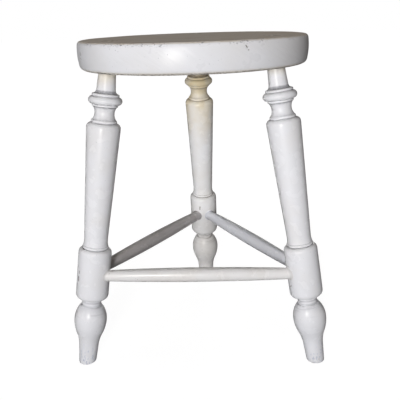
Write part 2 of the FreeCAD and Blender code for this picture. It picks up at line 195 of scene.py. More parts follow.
@dataclass(frozen=True)
class PaintFilm:
    """How coats of paint soften an outline, and how closely the mesh follows it."""

    soften: float = 0.34
    groove_reach: float = 1.1
    groove_full: float = 0.26
    longest_row: float = 4.0
    rows_per_turn: float = 1.9
    fewest_rows: int = 8

    def coat(self, outline: Outline) -> dict[str, np.ndarray]:
        """Soften an outline and choose the rows of its mesh.

        Args:
            outline: The bare wood's outline.

        Returns:
            Row points, and for each how deep it lies in a groove and how far out on a ridge, from 0 to 1.
        """
        raw = self._even(np.array(outline.points), outline.step)
        soft = self._blur(raw, self.soften / outline.step)
        wide = self._blur(raw, self.groove_reach / outline.step)
        along = np.gradient(soft, axis=0)
        along /= np.maximum(np.linalg.norm(along, axis=1, keepdims=True), TINY)
        outward = np.stack((along[:, 1], -along[:, 0]), axis=1)
        depth = ((wide - soft) * outward).sum(axis=1) / self.groove_full
        turning = np.abs(np.gradient(np.unwrap(np.arctan2(along[:, 1], along[:, 0]))))
        share = np.cumsum(outline.step / self.longest_row + self.rows_per_turn * turning)
        count = max(self.fewest_rows, math.ceil(share[-1]))
        wanted = np.linspace(share[0], share[-1], count)
        rows = np.unique(np.searchsorted(share, wanted).clip(0, len(soft) - 1))
        rows[-1] = len(soft) - 1
        return {
            "points": soft[rows],
            "groove": depth.clip(0, 1)[rows],
            "ridge": (-depth).clip(0, 1)[rows],
        }

    @staticmethod
    def _even(points: np.ndarray, step: float) -> np.ndarray:
        """Divide a line into even steps.

        Args:
            points: The line's points.
            step: Longest step.

        Returns:
            Points on the same line.
        """
        run = np.concatenate(([0], np.cumsum(np.linalg.norm(np.diff(points, axis=0), axis=1))))
        places = np.linspace(0, run[-1], math.ceil(run[-1] / step))
        return np.stack([np.interp(places, run, points[:, k]) for k in (0, 1)], axis=1)

    @staticmethod
    def _blur(points: np.ndarray, spread: float) -> np.ndarray:
        """Smooth a line by a bell curve, with its two ends held.

        Args:
            points: The line's points, in even steps.
            spread: Width of the curve, in steps.

        Returns:
            As many points on the smooth line.
        """
        reach = math.ceil(3 * spread)
        bell = np.exp(-0.5 * (np.arange(-reach, reach + 1) / spread) ** 2)
        bell /= bell.sum()
        before = 2 * points[0] - points[reach:0:-1]
        after = 2 * points[-1] - points[-2:-reach - 2:-1]
        padded = np.concatenate((before, points, after))
        return np.stack([np.convolve(padded[:, k], bell, "valid") for k in (0, 1)], axis=1)


@dataclass(frozen=True)
class Grain:
    """A noise pattern: lumps in a metre, levels of finer lumps, stretch, and the limits of its fade."""

    lumps: float
    detail: float = 2.0
    stretch: tuple[float, float, float] = (1.0, 1.0, 1.0)
    fade: Limits | None = None


@dataclass
class Wiring:
    """Adds nodes to a tree and joins their sockets."""

    tree: bpy.types.NodeTree

    def add(self, kind: str, inputs: dict | None = None, **settings: object) -> bpy.types.Node:
        """Add a node.

        Args:
            kind: Blender's name for the node type.
            inputs: Sockets to link from, or plain values, by input name or number.
            settings: The node's own settings.

        Returns:
            The new node.
        """
        node = self.tree.nodes.new(kind)
        for name, value in settings.items():
            setattr(node, name, value)
        for key, value in (inputs or {}).items():
            if isinstance(value, Socket):
                self.tree.links.new(value, node.inputs[key])
            else:
                node.inputs[key].default_value = value
        return node

    def math(self, operation: str, *values: object) -> Socket:
        """Join numbers or sockets by one sum and give its result."""
        return self.add("ShaderNodeMath", dict(enumerate(values)), operation=operation).outputs[0]

    def vector(self, operation: str, *values: object) -> bpy.types.Node:
        """Join vectors by one sum and give its node."""
        return self.add("ShaderNodeVectorMath", dict(enumerate(values)), operation=operation)

    def ramp(self, value: Socket, low: float | Socket, high: float | Socket) -> Socket:
        """Ease a value from 0 at low to 1 at high.

        Args:
            value: What to ease.
            low: Where the result is 0.
            high: Where the result is 1, above or below low.

        Returns:
            The eased value.
        """
        inputs = {"Value": value, "From Min": low, "From Max": high}
        return self.add("ShaderNodeMapRange", inputs, interpolation_type="SMOOTHSTEP").outputs[0]

    def mix(self, share: Socket | float, first: object, second: object) -> Socket:
        """Blend two colours, with none of the second at a share of 0."""
        node = self.add("ShaderNodeMix", {0: share, 6: first, 7: second}, data_type="RGBA")
        return node.outputs[2]

    def times(self, *values: object) -> Socket:
        """Multiply numbers or sockets together.

        Args:
            values: What to multiply.

        Returns:
            The product.
        """
        total = values[0]
        for value in values[1:]:
            total = self.math("MULTIPLY", total, value)
        return total

    def tint(self, colour: Socket, second: Colour, *shares: object) -> Socket:
        """Blend a colour towards a second one, by the product of some shares."""
        return self.mix(self.times(*shares), colour, second)

    def attribute(self, name: str, output: str = "Fac") -> Socket:
        """Read a named value from the mesh."""
        return self.add("ShaderNodeAttribute", attribute_name=name).outputs[output]

    def grain(self, place: Socket, grain: Grain) -> Socket:
        """Draw a noise pattern.

        Args:
            place: Where on the piece, in metres.
            grain: The pattern.

        Returns:
            Soft noise from 0 to 1, eased between the pattern's limits if it has them.
        """
        spot = self.vector("MULTIPLY", place, grain.stretch).outputs[0]
        inputs = {"Vector": spot, "Scale": grain.lumps, "Detail": grain.detail}
        noise = self.add("ShaderNodeTexNoise", inputs).outputs[0]
        return self.ramp(noise, *grain.fade) if grain.fade else noise


@dataclass(frozen=True)
class Turning:
    """How a piece is spun: its sides, how uneven it is and in how many lumps a metre, and its lean."""

    sides: int
    wobble: float = 0.0
    wobble_lumps: float = 9.0
    ripple: float = 0.0
    ripple_lumps: float = 70.0
    seed: float = 1.0
    lean: float = 0.0
    foot_end: float = -1000.0
    neck_start: float = 1000.0
    neck_end: float = 2000.0

    def inputs(self) -> dict[str, float]:
        """Name the values as the tree's inputs.

        Returns:
            The inputs by name, with lengths in metres.
        """
        return {
            "Sides": self.sides,
            "Wobble": self.wobble * MM,
            "Wobble Lumps": self.wobble_lumps,
            "Ripple": self.ripple * MM,
            "Ripple Lumps": self.ripple_lumps,
            "Seed": self.seed,
            "Lean": self.lean,
            "Foot End": self.foot_end * MM,
            "Neck Start": self.neck_start * MM,
            "Neck End": self.neck_end * MM,
        }


class TurningTree:
    """The Geometry Nodes tree that spins an outline into a turned piece."""

    NAME = "turned_piece"
    INPUTS = (
        ("Sides", "NodeSocketInt"),
        ("Wobble", "NodeSocketFloat"),
        ("Wobble Lumps", "NodeSocketFloat"),
        ("Ripple", "NodeSocketFloat"),
        ("Ripple Lumps", "NodeSocketFloat"),
        ("Seed", "NodeSocketFloat"),
        ("Lean", "NodeSocketFloat"),
        ("Foot End", "NodeSocketFloat"),
        ("Neck Start", "NodeSocketFloat"),
        ("Neck End", "NodeSocketFloat"),
        ("Material", "NodeSocketMaterial"),
    )
    WELD_M = 2e-6
    LUMP_DETAIL = 1.0

    def __init__(self) -> None:
        """Build the tree."""
        self.tree = bpy.data.node_groups.new(self.NAME, "GeometryNodeTree")
        self.tree.interface.new_socket("Outline", in_out="INPUT", socket_type="NodeSocketGeometry")
        self.names = {}
        for name, kind in self.INPUTS:
            socket = self.tree.interface.new_socket(name, in_out="INPUT", socket_type=kind)
            self.names[name] = socket.identifier
        self.tree.interface.new_socket("Piece", in_out="OUTPUT", socket_type="NodeSocketGeometry")
        wires = Wiring(self.tree)
        given = wires.add("NodeGroupInput").outputs
        spun = self._spin(wires, given)
        piece = self._level_ends(wires, given, self._unsettle(wires, given, spun))
        smooth = wires.add("GeometryNodeSetShadeSmooth", {"Geometry": piece}).outputs[0]
        whole = wires.add("GeometryNodeRealizeInstances", {"Geometry": smooth}).outputs[0]
        dressed = wires.add("GeometryNodeSetMaterial", {"Geometry": whole, "Material": given["Material"]})
        wires.add("NodeGroupOutput", {0: dressed.outputs[0]})

    def _spin(self, wires: Wiring, given: bpy.types.NodeOutputs) -> Socket:
        """Wrap a grid round the axis, one row for each outline point, and weld its seam and poles.

        Args:
            wires: The tree's wiring.
            given: The tree's inputs.

        Returns:
            The spun surface, with the outline's groove and ridge values.
        """
        outline = given["Outline"]
        size = wires.add("GeometryNodeAttributeDomainSize", {"Geometry": outline}, component="MESH")
        rows = size.outputs["Point Count"]
        columns = wires.math("ADD", given["Sides"], 1.0)
        grid = wires.add("GeometryNodeMeshGrid", {"Vertices X": columns, "Vertices Y": rows}).outputs[0]
        index = wires.add("GeometryNodeInputIndex").outputs[0]
        column = wires.math("FLOOR", wires.math("DIVIDE", wires.math("ADD", index, 0.5), rows))
        row = wires.math("SUBTRACT", index, wires.times(column, rows))
        angle = wires.times(wires.math("DIVIDE", column, given["Sides"]), math.tau)

        def sample(value: Socket, kind: str) -> Socket:
            """Take a value of the outline at this row."""
            inputs = {"Geometry": outline, "Value": value, "Index": row}
            return wires.add("GeometryNodeSampleIndex", inputs, data_type=kind).outputs[0]

        point = sample(wires.add("GeometryNodeInputPosition").outputs[0], "FLOAT_VECTOR")
        turn = {"Vector": point, "Angle": angle}
        turned = wires.add("ShaderNodeVectorRotate", turn, rotation_type="Z_AXIS").outputs[0]
        geometry = wires.add("GeometryNodeSetPosition", {"Geometry": grid, "Position": turned}).outputs[0]
        for name in ("groove", "ridge"):
            there = wires.add("GeometryNodeInputNamedAttribute", {"Name": name}, data_type="FLOAT").outputs[0]
            geometry = self._store(wires, geometry, name, sample(there, "FLOAT"), "FLOAT")
        weld = {"Geometry": geometry, "Distance": self.WELD_M}
        return wires.add("GeometryNodeMergeByDistance", weld).outputs[0]

    @staticmethod
    def _store(wires: Wiring, geometry: Socket, name: str, value: Socket, kind: str) -> Socket:
        """Keep a value on the mesh points under a name."""
        inputs = {"Geometry": geometry, "Name": name, "Value": value}
        return wires.add("GeometryNodeStoreNamedAttribute", inputs, data_type=kind).outputs[0]

    def _unsettle(self, wires: Wiring, given: bpy.types.NodeOutputs, geometry: Socket) -> Socket:
        """Push the surface in and out a little, as hand turning and brushed paint leave it.

        Args:
            wires: The tree's wiring.
            given: The tree's inputs.
            geometry: The spun surface.

        Returns:
            The uneven surface.
        """
        here = wires.add("GeometryNodeInputPosition").outputs[0]
        push = None
        for amount, lumps in (("Wobble", "Wobble Lumps"), ("Ripple", "Ripple Lumps")):
            inputs = {"Vector": here, "W": given["Seed"], "Scale": given[lumps], "Detail": self.LUMP_DETAIL}
            lump = wires.add("ShaderNodeTexNoise", inputs, noise_dimensions="4D").outputs[0]
            part = wires.times(wires.math("SUBTRACT", lump, 0.5), given[amount])
            push = part if push is None else wires.math("ADD", push, part)
        normal = wires.add("GeometryNodeInputNormal").outputs[0]
        offset = wires.add("ShaderNodeVectorMath", {0: normal, "Scale": push}, operation="SCALE").outputs[0]
        return wires.add("GeometryNodeSetPosition", {"Geometry": geometry, "Offset": offset}).outputs[0]

    def _level_ends(self, wires: Wiring, given: bpy.types.NodeOutputs, geometry: Socket) -> Socket:
        """Keep each point's place on the upright turning, then shear the ends level for a leaning piece.

        Args:
            wires: The tree's wiring.
            given: The tree's inputs.
            geometry: The upright surface.

        Returns:
            The surface with its ends sheared.
        """
        here = wires.add("GeometryNodeInputPosition").outputs[0]
        geometry = self._store(wires, geometry, "turned", here, "FLOAT_VECTOR")
        across = wires.add("ShaderNodeSeparateXYZ", {0: here})
        at_foot = wires.ramp(across.outputs[2], given["Foot End"], 0.0)
        at_neck = wires.ramp(across.outputs[2], given["Neck Start"], given["Neck End"])
        share = wires.times(wires.math("ADD", at_foot, at_neck), given["Lean"])
        drop = wires.times(across.outputs[0], share, -1.0)
        offset = wires.add("ShaderNodeCombineXYZ", {2: drop}).outputs[0]
        return wires.add("GeometryNodeSetPosition", {"Geometry": geometry, "Offset": offset}).outputs[0]

    def turn(
        self, name: str, rows: dict[str, np.ndarray], turning: Turning, paint: bpy.types.Material
    ) -> bpy.types.Object:
        """Spin an outline into an object with a plain mesh.

        Args:
            name: The object's name.
            rows: What PaintFilm.coat gives.
            turning: How to spin it.
            paint: Its finish.

        Returns:
            The object, upright at the origin, in the scene.
        """
        mesh = bpy.data.meshes.new(name)
        places = [(radius * MM, 0.0, place * MM) for radius, place in rows["points"]]
        mesh.from_pydata(places, [(k, k + 1) for k in range(len(places) - 1)], [])
        for key in ("groove", "ridge"):
            mesh.attributes.new(key, "FLOAT", "POINT").data.foreach_set("value", rows[key].astype(np.float32))
        piece = bpy.data.objects.new(name, mesh)
        bpy.context.scene.collection.objects.link(piece)
        spin = piece.modifiers.new("spin", "NODES")
        spin.node_group = self.tree
        for key, value in (turning.inputs() | {"Material": paint}).items():
            spin[self.names[key]] = value
        settle(piece)
        return piece


def settle(piece: bpy.types.Object) -> None:
    """Turn a piece with modifiers into a plain mesh.

    Args:
        piece: The object, which keeps its name.
    """
    bpy.context.view_layer.update()
    graph = bpy.context.evaluated_depsgraph_get()
    mesh = bpy.data.meshes.new_from_object(
        piece.evaluated_get(graph), preserve_all_data_layers=True, depsgraph=graph
    )
    piece.modifiers.clear()
    piece.data = mesh
    mesh.name = piece.name


def points_of(piece: bpy.types.Object) -> np.ndarray:
    """Read a mesh's points.

    Args:
        piece: The object.

    Returns:
        Rows of x, y and z, in metres.
    """
    flat = np.zeros(len(piece.data.vertices) * 3, np.float32)
    piece.data.vertices.foreach_get("co", flat)
    return flat.reshape(-1, 3).astype(float)


def move_points(piece: bpy.types.Object, points: np.ndarray) -> None:
    """Put a mesh's points where the rows say, in metres."""
    piece.data.vertices.foreach_set("co", points.astype(np.float32).ravel())
    piece.data.update()


@dataclass(frozen=True)
class Nick:
    """A chip, scratch or crack in the paint of a turned piece, as a stroke on its surface."""

    radius: float
    place: float
    angle: float
    width: float = 1.0
    rise: float = 0.0
    run: float = 0.0

    def ends(self) -> tuple[Vector, Vector]:
        """Find the stroke's two ends.

        Returns:
            Both ends on the upright piece, in metres.
        """
        half_turn = math.degrees(self.run / 2 / self.radius)
        found = []
        for side in (-1, 1):
            angle = math.radians(self.angle + side * half_turn)
            place = self.place + side * self.rise / 2
            found.append(Vector((self.radius * math.cos(angle), self.radius * math.sin(angle), place)) * MM)
        return found[0], found[1]


@dataclass(frozen=True)
class GlossPaint:
    """Old off-white gloss paint on wood, brushed on in several coats."""

    white: Colour = srgb(234, 234, 237)
    dull_white: Colour = srgb(231, 230, 231)
    cream: Colour = srgb(216, 200, 160)
    # Colour of soiling and specks, and of painted shade in creases.
    dirt_and_shade: Colour = srgb(82, 83, 96)
    undercoat: Colour = srgb(168, 166, 168)
    bare_wood: Colour = srgb(86, 66, 54)
    scuff: Colour = srgb(156, 164, 186)
    gloss: float = 0.26
    gloss_range: float = 0.16
    gloss_patches: Grain = Grain(60.0, 3.0)
    dull_rise: float = 0.2
    sheen_level: float = 0.5
    relief_m: float = 0.00005
    nick_depth: float = 2.0
    nick_edge: float = 0.55
    nick_raggedness: Grain = Grain(900.0)
    marks: tuple[Nick, ...] = ()

    def start(self, name: str) -> tuple[bpy.types.Material, Wiring]:
        """Make an empty material.

        Args:
            name: The material's name.

        Returns:
            The material and a wiring for its nodes.
        """
        material = bpy.data.materials.new(name)
        material.use_nodes = True
        material.node_tree.nodes.clear()
        return material, Wiring(material.node_tree)

    def roughness(self, wires: Wiring, place: Socket, dull: Socket) -> Socket:
        """Roughness in soft patches, higher where the paint is dull.

        Args:
            wires: The material's wiring.
            place: Where on the piece, in metres.
            dull: How dull the paint is, from 0 to 1.

        Returns:
            The roughness.
        """
        patches = wires.grain(place, self.gloss_patches)
        rough = wires.math("MULTIPLY_ADD", patches, self.gloss_range, self.gloss - self.gloss_range / 2)
        return wires.math("MULTIPLY_ADD", dull, self.dull_rise, rough)

    def finish(self, wires: Wiring, place: Socket, colour: Socket, rough: Socket, relief: Socket) -> None:
        """Break the paint at its nicks and end its material in a shader.

        Args:
            wires: The material's wiring.
            place: Where on the piece, in metres.
            colour: Colour of the whole paint.
            rough: Roughness of the surface.
            relief: Height of brush marks.
        """
        broken = self._nicks(wires, place)
        height = wires.math("SUBTRACT", relief, wires.times(broken, self.nick_depth))
        bump = wires.add("ShaderNodeBump", {"Height": height, "Strength": 1.0, "Distance": self.relief_m})
        inputs = {
            "Base Color": wires.mix(broken, colour, self.bare_wood),
            "Roughness": rough,
            "Normal": bump.outputs[0],
            "Specular IOR Level": self.sheen_level,
        }
        shader = wires.add("ShaderNodeBsdfPrincipled", inputs)
        wires.add("ShaderNodeOutputMaterial", {"Surface": shader.outputs[0]})

    def _nicks(self, wires: Wiring, place: Socket) -> Socket | float:
        """Where the paint is broken.

        Args:
            wires: The material's wiring.
            place: Where on the piece, in metres.

        Returns:
            1 in a nick, easing to 0 at its ragged edge.
        """
        total: Socket | float = 0.0
        ragged = wires.math("SUBTRACT", wires.grain(place, self.nick_raggedness), 0.5)
        for mark in self.marks:
            start, end = mark.ends()
            way = end - start
            per_way = way / max(way.length_squared, TINY_SQUARE_M)
            from_start = wires.vector("SUBTRACT", place, start).outputs[0]
            share = wires.vector("DOT_PRODUCT", from_start, per_way).outputs["Value"]
            held = wires.add("ShaderNodeClamp", {"Value": share}).outputs[0]
            nearest = wires.add("ShaderNodeVectorMath", {0: way, "Scale": held}, operation="SCALE").outputs[0]
            away = wires.vector("DISTANCE", from_start, nearest).outputs["Value"]
            half = mark.width * MM / 2
            uneven = wires.math("MULTIPLY_ADD", ragged, 2 * half, away)
            total = wires.math("MAXIMUM", total, wires.ramp(uneven, half, half * self.nick_edge))
        return total


@dataclass(frozen=True)
class TurnedPaint(GlossPaint):
    """The paint on a turned piece: yellowed near the seat, darkened in its grooves by soiling and painted
    crease shade, scuffed at the foot.
    """

    clouds: Grain = Grain(26.0, 3.0)
    cloud_fade: Limits = (0.4, 0.68)
    fine: Grain = Grain(420.0, 3.0)
    yellow_low_m: float = 0.396
    yellow_high_m: float = 0.42
    yellow_most: float = 0.55
    yellow_fade: Limits = (0.3, 0.7)
    yellow_least: float = 0.55
    foot_white: Colour = srgb(210, 211, 216)
    foot_high_m: float = 0.26
    foot_most: float = 0.4
    scuffs: Grain = Grain(420.0, 4.0, (1, 1, 0.5), (0.5, 0.68))
    scuff_high_m: float = 0.05
    scuff_low_m: float = 0.002
    scuff_most: float = 0.7
    groove_fade: Limits = (0.1, 0.6)
    groove_dark: float = 0.85
    low_groove_share: float = 0.3
    low_groove_m: Limits = (0.1, 0.14)
    end_white: Colour = srgb(212, 203, 191)
    end_m: Limits = (0.4545, 0.456)
    wear_fade: Limits = (0.56, 0.68)
    wear_most: float = 0.2
    specks: Grain = Grain(620.0, 1.0, fade=(0.76, 0.8))
    speck_dark: float = 0.35
    lines: Grain = Grain(520.0, 1.0, (0.05, 0.05, 1), (0.56, 0.64))
    lines_start_m: Limits = (0.074, 0.084)
    lines_stop_m: Limits = (0.1, 0.09)
    line_dark: float = 0.16
    brush: Grain = Grain(600.0, 2.0, (0.06, 0.06, 1))
    brush_relief: float = 0.5
    peel: Grain = Grain(190.0)
    peel_relief: float = 0.15

    def material(self, name: str) -> bpy.types.Material:
        """Build the material.

        Args:
            name: The material's name.

        Returns:
            The material, which reads the mesh's turned, groove and ridge attributes.
        """
        material, wires = self.start(name)
        place = wires.attribute("turned", "Vector")
        stood = wires.add("ShaderNodeTexCoord").outputs["Object"]
        height = wires.add("ShaderNodeSeparateXYZ", {0: stood}).outputs[2]
        fine = wires.grain(place, self.fine)
        colour = self._aged(wires, place, height)
        at_foot = wires.ramp(height, self.scuff_high_m, self.scuff_low_m)
        scuffed = wires.times(at_foot, wires.grain(place, self.scuffs))
        colour = wires.tint(colour, self.scuff, scuffed, self.scuff_most)
        # Darkening in the grooves: part soiling, part painted shade where shade falls in the creases.
        grooves = wires.times(wires.attribute("groove"), wires.math("ADD", fine, 0.5))
        crease_dirt_and_shade = wires.ramp(grooves, *self.groove_fade)
        above = wires.ramp(height, *self.low_groove_m)
        kept = wires.math("MULTIPLY_ADD", above, 1 - self.low_groove_share, self.low_groove_share)
        colour = wires.tint(colour, self.dirt_and_shade, crease_dirt_and_shade, kept, self.groove_dark)
        worn = wires.ramp(fine, *self.wear_fade)
        colour = wires.tint(colour, self.undercoat, wires.attribute("ridge"), worn, self.wear_most)
        colour = wires.tint(colour, self.dirt_and_shade, wires.grain(place, self.specks), self.speck_dark)
        on_ball = wires.times(wires.ramp(height, *self.lines_start_m), wires.ramp(height, *self.lines_stop_m))
        colour = wires.tint(colour, self.dirt_and_shade, wires.grain(place, self.lines), on_ball, self.line_dark)
        rough = self.roughness(wires, place, wires.math("ADD", crease_dirt_and_shade, scuffed))
        peeled = wires.times(wires.grain(place, self.peel), self.peel_relief)
        relief = wires.math("MULTIPLY_ADD", wires.grain(place, self.brush), self.brush_relief, peeled)
        self.finish(wires, place, colour, rough, relief)
        return material

    def _aged(self, wires: Wiring, place: Socket, height: Socket) -> Socket:
        """The paint's colour before wear, soiling and painted crease shade are added.

        Args:
            wires: The material's wiring.
            place: Where on the upright piece, in metres.
            height: Height over the floor, in metres.

        Returns:
            White in soft patches, greyer at the foot, yellow near the seat and dull on the tenon's end.
        """
        cloudy = wires.grain(place, self.clouds)
        colour = wires.mix(wires.ramp(cloudy, *self.cloud_fade), self.white, self.dull_white)
        low = wires.ramp(height, self.foot_high_m, 0.0)
        colour = wires.tint(colour, self.foot_white, low, self.foot_most)
        aged = wires.ramp(height, self.yellow_low_m, self.yellow_high_m)
        patchy = wires.math("ADD", wires.ramp(cloudy, *self.yellow_fade), self.yellow_least)
        colour = wires.tint(colour, self.cream, aged, self.yellow_most, patchy)
        # The tenon's end takes the seat top's colour, with the same partly painted shade.
        return wires.tint(colour, self.end_white, wires.ramp(height, *self.end_m))


@dataclass(frozen=True)
class SeatPaint(GlossPaint):
    """The paint on the seat: glossy round the side, worn at the top edge, dull and stained on top, with
    painted shade at its right end and partly on its top.
    """

    gloss: float = 0.3
    gloss_patches: Grain = Grain(40.0, 3.0)
    dull_rise: float = 0.28
    relief_m: float = 0.0005
    nick_depth: float = 0.5
    top_m: float = 0.457
    bottom_m: float = 0.419
    # Colour of the top: worn, stained paint, and partly painted shade for the dim light on the top.
    top_white: Colour = srgb(214, 204, 190)
    top_band_m: Limits = (0.0026, 0.0006)
    # Colour of the stains on top, and of the painted shade at the side's right end.
    stain_and_end_shade: Colour = srgb(170, 156, 140)
    stain_fade: Limits = (0.5, 0.72)
    stain_most: float = 0.6
    below_band_m: Limits = (0.005, 0.001)
    below_most: float = 0.4
    right_end_shade_m: Limits = (0.13, 0.16)
    right_end_shade_most: float = 0.3
    clouds: Grain = Grain(14.0, 4.0)
    cloud_fade: Limits = (0.42, 0.7)
    fine: Grain = Grain(430.0, 3.0)
    wood_grain: Grain = Grain(230.0, 3.0, (0.05, 1, 1))
    grain_fade: Limits = (0.35, 0.75)
    stained_grain_fade: Limits = (0.3, 0.8)
    grain_relief: float = 0.3
    # A ragged dark line along the bottom edge: worn chips and painted shade.
    bottom_line_band_m: Limits = (0.0032, 0.0012)
    bottom_line_ridge: Limits = (0.0, 0.2)
    bottom_line_fade: Limits = (0.36, 0.62)
    bottom_line_most: float = 0.7
    edge_band_m: Limits = (0.007, 0.003)
    edge_ridge: Limits = (0.1, 0.35)
    edge_clusters: Grain = Grain(60.0, fade=(0.42, 0.6))
    edge_dashes: Grain = Grain(760.0, 2.0, (0.6, 0.6, 1), (0.57, 0.65))
    edge_dark: float = 0.75
    specks: Grain = Grain(520.0, 1.0, fade=(0.75, 0.8))
    speck_dark: float = 0.6
    brush: Grain = Grain(260.0, 2.0, (0.15, 0.15, 1))
    brush_slant: float = -0.6
    tenon_spots: tuple[tuple[float, float], ...] = ()
    tenon_radius: float = 11.5
    ring_m: Limits = (0.0009, 0.0003)
    ring_raggedness_m: float = 0.0012
    ring_dark: float = 0.6

    def material(self, name: str) -> bpy.types.Material:
        """Build the material.

        Args:
            name: The material's name.

        Returns:
            The material, which reads Object coordinates and the mesh's ridge attribute.
        """
        material, wires = self.start(name)
        place = wires.add("ShaderNodeTexCoord").outputs["Object"]
        parts = wires.add("ShaderNodeSeparateXYZ", {0: place}).outputs
        ridge = wires.attribute("ridge")
        from_top = wires.math("SUBTRACT", self.top_m, parts[2])
        from_bottom = wires.math("SUBTRACT", parts[2], self.bottom_m)
        on_top = wires.ramp(from_top, *self.top_band_m)
        below = wires.ramp(from_bottom, *self.below_band_m)
        cloudy = wires.grain(place, self.clouds)
        fine = wires.grain(place, self.fine)
        grain = wires.grain(place, self.wood_grain)
        side = wires.mix(wires.ramp(cloudy, *self.cloud_fade), self.white, self.dull_white)
        # Painted shade: the side is tinted darker and browner towards its right end.
        side = wires.tint(side, self.stain_and_end_shade, wires.ramp(parts[0], *self.right_end_shade_m), self.right_end_shade_most)
        # The top is darker and browner than the side: worn, stained paint, and partly painted shade for the
        # dim light on the top.
        top = wires.mix(wires.ramp(grain, *self.grain_fade), self.top_white, self.dull_white)
        blotted = wires.ramp(cloudy, *self.stain_fade)
        stained = wires.times(blotted, wires.ramp(grain, *self.stained_grain_fade))
        top = wires.tint(top, self.stain_and_end_shade, stained, self.stain_most)
        colour = wires.mix(on_top, side, top)
        colour = wires.tint(colour, self.cream, below, self.below_most)
        # A ragged bare-wood line along the bottom edge: worn chips, and painted shade under the edge.
        lowest = wires.ramp(from_bottom, *self.bottom_line_band_m)
        bottom_line = wires.times(lowest, wires.ramp(ridge, *self.bottom_line_ridge), wires.ramp(fine, *self.bottom_line_fade))
        colour = wires.tint(colour, self.bare_wood, bottom_line, self.bottom_line_most)
        edge = wires.times(wires.ramp(from_top, *self.edge_band_m), wires.ramp(ridge, *self.edge_ridge))
        worn = wires.times(wires.grain(place, self.edge_clusters), wires.grain(place, self.edge_dashes))
        colour = wires.tint(colour, self.dirt_and_shade, edge, worn, self.edge_dark)
        colour = wires.tint(colour, self.dirt_and_shade, wires.grain(place, self.specks), self.speck_dark)
        rings = self._tenon_rings(wires, place, fine)
        colour = wires.tint(colour, self.dirt_and_shade, rings, on_top, self.ring_dark)
        slant = {"Vector": place, "Angle": self.brush_slant}
        slanted = wires.add("ShaderNodeVectorRotate", slant, rotation_type="Y_AXIS").outputs[0]
        strokes = wires.times(wires.grain(slanted, self.brush), wires.math("SUBTRACT", 1.0, on_top))
        relief = wires.math("MULTIPLY_ADD", wires.times(grain, on_top), self.grain_relief, strokes)
        rough = self.roughness(wires, place, wires.math("ADD", on_top, below))
        self.finish(wires, place, colour, rough, relief)
        return material

    def _tenon_rings(self, wires: Wiring, place: Socket, fine: Socket) -> Socket:
        """Thin dirty rings where the leg tenons come through the top.

        Args:
            wires: The material's wiring.
            place: Where on the seat, in metres.
            fine: Fine noise that makes the rings ragged.

        Returns:
            1 on a ring and 0 away from it.
        """
        total: Socket | float = 0.0
        flat = wires.vector("MULTIPLY", place, (1, 1, 0)).outputs[0]
        for x, y in self.tenon_spots:
            away = wires.vector("DISTANCE", flat, (x * MM, y * MM, 0.0)).outputs["Value"]
            off = wires.math("ABSOLUTE", wires.math("SUBTRACT", away, self.tenon_radius * MM))
            uneven = wires.math("SUBTRACT", fine, 0.5)
            ragged = wires.math("MULTIPLY_ADD", uneven, self.ring_raggedness_m, off)
            total = wires.math("MAXIMUM", total, wires.ramp(ragged, *self.ring_m))
        return total


